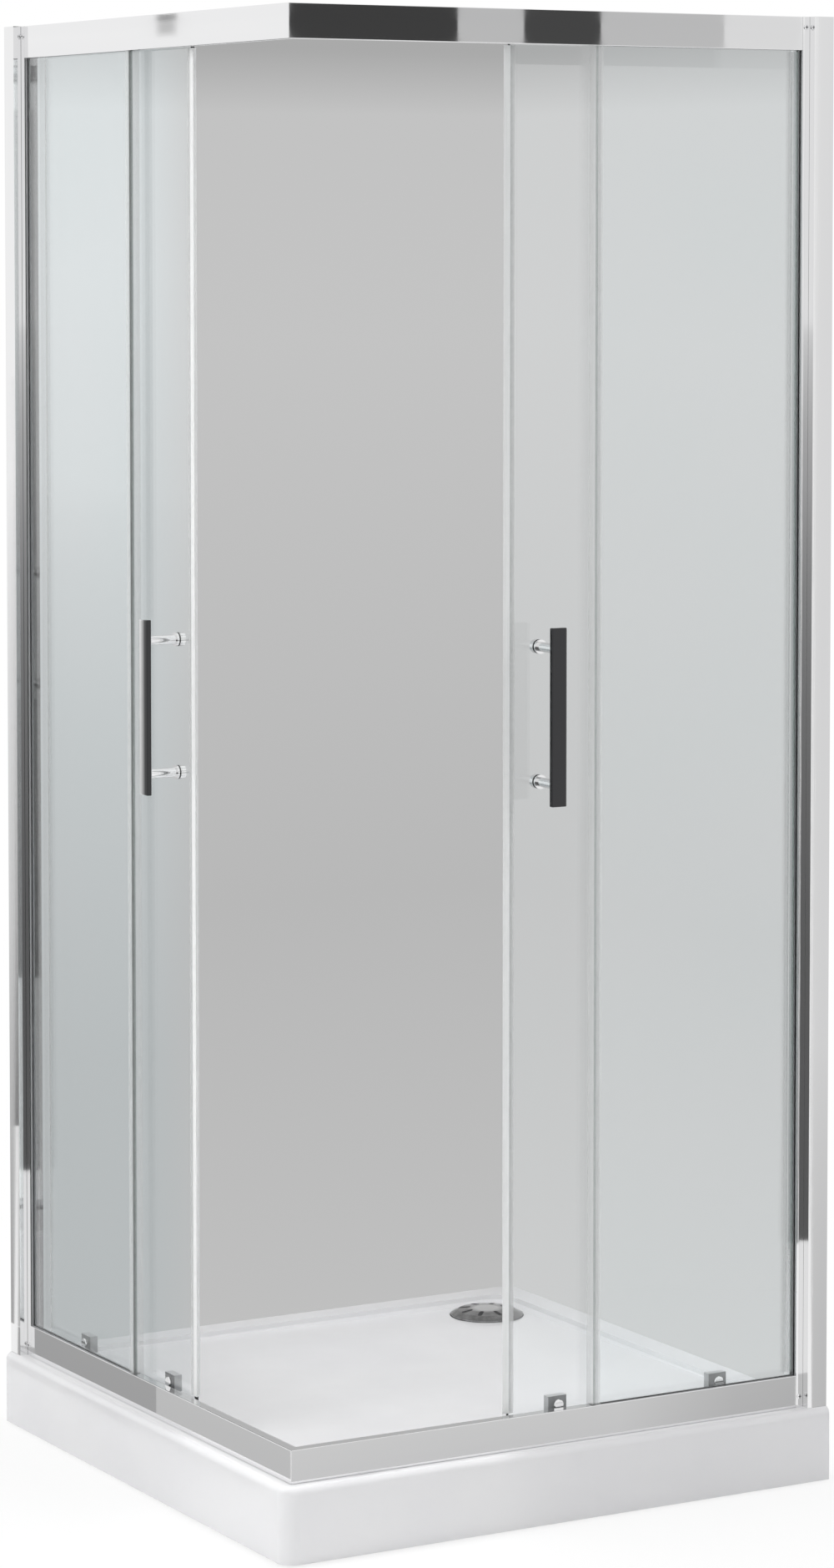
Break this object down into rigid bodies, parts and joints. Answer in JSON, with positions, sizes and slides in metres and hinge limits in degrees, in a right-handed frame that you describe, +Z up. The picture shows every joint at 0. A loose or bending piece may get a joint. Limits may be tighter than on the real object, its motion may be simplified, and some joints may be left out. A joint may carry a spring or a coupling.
{
  "type": "corner shower enclosure",
  "caption": "Square corner shower enclosure: white tray, chrome rails, fixed glass and sliding glass doors that meet at the free corner.",
  "frame": {"origin": "on the floor under the middle of the tray, at the underside of the middle levelling foot", "axes": "+Z up; walls at +X and +Y; the free corner with the doors points to -X -Y"},
  "size_m": [0.9125, 0.9125, 2.125],
  "materials": {
    "acrylic_white": "glossy white cast acrylic",
    "bright_aluminium": "aluminium polished bright to a chrome-like mirror",
    "chrome": "bright chrome plate on brass and zinc",
    "clear_glass": "clear toughened glass with a faint green edge",
    "seal_clear": "translucent vinyl seal",
    "rubber_black": "black rubber",
    "nylon_white": "white moulded nylon",
    "steel": "brushed stainless steel",
    "board": "raw particle board"
  },
  "bodies": {
    "frame": {"top_rail_right": "bright_aluminium", "top_rail_left": "bright_aluminium", "bottom_rail_right": "bright_aluminium", "bottom_rail_left": "bright_aluminium", "sill_infill_right": "bright_aluminium", "sill_infill_left": "bright_aluminium", "wall_channel_right": "bright_aluminium", "wall_channel_left": "bright_aluminium", "side_post_right": "bright_aluminium", "side_post_left": "bright_aluminium", "fixed_glass_right": "clear_glass", "fixed_glass_left": "clear_glass", "glazing_gasket_right": "rubber_black", "glazing_gasket_left": "rubber_black", "fixed_edge_seal_right": "seal_clear", "fixed_edge_seal_left": "seal_clear", "tray_shell": "acrylic_white", "tray_base_board": "board", "foot_sockets": "nylon_white", "waste_flange": "steel", "waste_gasket": "rubber_black", "waste_trap": "nylon_white", "corner_joints": "nylon_white", "rail_end_blocks": "nylon_white", "frame_screws": "chrome", "screw_caps": "nylon_white", "door_stops": "rubber_black"},
    "door_right": {"door_glass_right": "clear_glass", "magnet_seal_right": "seal_clear", "rear_seal_right": "seal_clear", "door_handle_right": "chrome", "handle_caps_right": "chrome", "roller_brackets_right": "steel", "guide_blocks_right": "chrome", "door_fasteners_right": "chrome"},
    "door_left": {"door_glass_left": "clear_glass", "magnet_seal_left": "seal_clear", "rear_seal_left": "seal_clear", "door_handle_left": "chrome", "handle_caps_left": "chrome", "roller_brackets_left": "steel", "guide_blocks_left": "chrome", "door_fasteners_left": "chrome"},
    "wheel_1_right": {"roller_wheel_1_right": "nylon_white"},
    "wheel_2_right": {"roller_wheel_2_right": "nylon_white"},
    "wheel_3_right": {"roller_wheel_3_right": "nylon_white"},
    "wheel_4_right": {"roller_wheel_4_right": "nylon_white"},
    "wheel_1_left": {"roller_wheel_1_left": "nylon_white"},
    "wheel_2_left": {"roller_wheel_2_left": "nylon_white"},
    "wheel_3_left": {"roller_wheel_3_left": "nylon_white"},
    "wheel_4_left": {"roller_wheel_4_left": "nylon_white"},
    "drain_cover": {"drain_cover": "chrome"},
    "foot_centre": {"levelling_foot_centre": "rubber_black"},
    "foot_front": {"levelling_foot_front": "rubber_black"},
    "foot_right": {"levelling_foot_right": "rubber_black"},
    "foot_left": {"levelling_foot_left": "rubber_black"},
    "foot_back": {"levelling_foot_back": "rubber_black"}
  },
  "joints": [
    {"name": "door_right_slide", "type": "slide", "parent": "frame", "child": "door_right", "axis": [-1, 0, 0], "range_m": [0, 0.328]},
    {"name": "wheel_1_right_spin", "type": "hinge", "parent": "door_right", "child": "wheel_1_right", "pos_m": [-0.013, -0.3955, 2.1108], "axis": [0, -1, 0], "continuous": true},
    {"name": "wheel_2_right_spin", "type": "hinge", "parent": "door_right", "child": "wheel_2_right", "pos_m": [0.037, -0.3955, 2.1108], "axis": [0, -1, 0], "continuous": true},
    {"name": "wheel_3_right_spin", "type": "hinge", "parent": "door_right", "child": "wheel_3_right", "pos_m": [0.257, -0.3955, 2.1108], "axis": [0, -1, 0], "continuous": true},
    {"name": "wheel_4_right_spin", "type": "hinge", "parent": "door_right", "child": "wheel_4_right", "pos_m": [0.307, -0.3955, 2.1108], "axis": [0, -1, 0], "continuous": true},
    {"name": "door_left_slide", "type": "slide", "parent": "frame", "child": "door_left", "axis": [0, -1, 0], "range_m": [-0.03, 0.298]},
    {"name": "wheel_1_left_spin", "type": "hinge", "parent": "door_left", "child": "wheel_1_left", "pos_m": [-0.3955, -0.043, 2.1108], "axis": [1, 0, 0], "continuous": true},
    {"name": "wheel_2_left_spin", "type": "hinge", "parent": "door_left", "child": "wheel_2_left", "pos_m": [-0.3955, 0.007, 2.1108], "axis": [1, 0, 0], "continuous": true},
    {"name": "wheel_3_left_spin", "type": "hinge", "parent": "door_left", "child": "wheel_3_left", "pos_m": [-0.3955, 0.227, 2.1108], "axis": [1, 0, 0], "continuous": true},
    {"name": "wheel_4_left_spin", "type": "hinge", "parent": "door_left", "child": "wheel_4_left", "pos_m": [-0.3955, 0.277, 2.1108], "axis": [1, 0, 0], "continuous": true},
    {"name": "drain_cover_lift", "type": "slide", "parent": "frame", "child": "drain_cover", "axis": [0, 0, 1], "range_m": [0, 0.06]},
    {"name": "foot_centre_adjust", "type": "slide", "parent": "frame", "child": "foot_centre", "axis": [0, 0, -1], "range_m": [0, 0.015]},
    {"name": "foot_front_adjust", "type": "slide", "parent": "frame", "child": "foot_front", "axis": [0, 0, -1], "range_m": [0, 0.015]},
    {"name": "foot_right_adjust", "type": "slide", "parent": "frame", "child": "foot_right", "axis": [0, 0, -1], "range_m": [0, 0.015]},
    {"name": "foot_left_adjust", "type": "slide", "parent": "frame", "child": "foot_left", "axis": [0, 0, -1], "range_m": [0, 0.015]},
    {"name": "foot_back_adjust", "type": "slide", "parent": "frame", "child": "foot_back", "axis": [0, 0, -1], "range_m": [0, 0.015]}
  ],
  "couplings": [
    {"joint": "wheel_1_right_spin", "follows": "door_right_slide", "rad_per_m": 86.957},
    {"joint": "wheel_2_right_spin", "follows": "door_right_slide", "rad_per_m": 86.957},
    {"joint": "wheel_3_right_spin", "follows": "door_right_slide", "rad_per_m": 86.957},
    {"joint": "wheel_4_right_spin", "follows": "door_right_slide", "rad_per_m": 86.957},
    {"joint": "wheel_1_left_spin", "follows": "door_left_slide", "rad_per_m": 86.957},
    {"joint": "wheel_2_left_spin", "follows": "door_left_slide", "rad_per_m": 86.957},
    {"joint": "wheel_3_left_spin", "follows": "door_left_slide", "rad_per_m": 86.957},
    {"joint": "wheel_4_left_spin", "follows": "door_left_slide", "rad_per_m": 86.957}
  ]
}
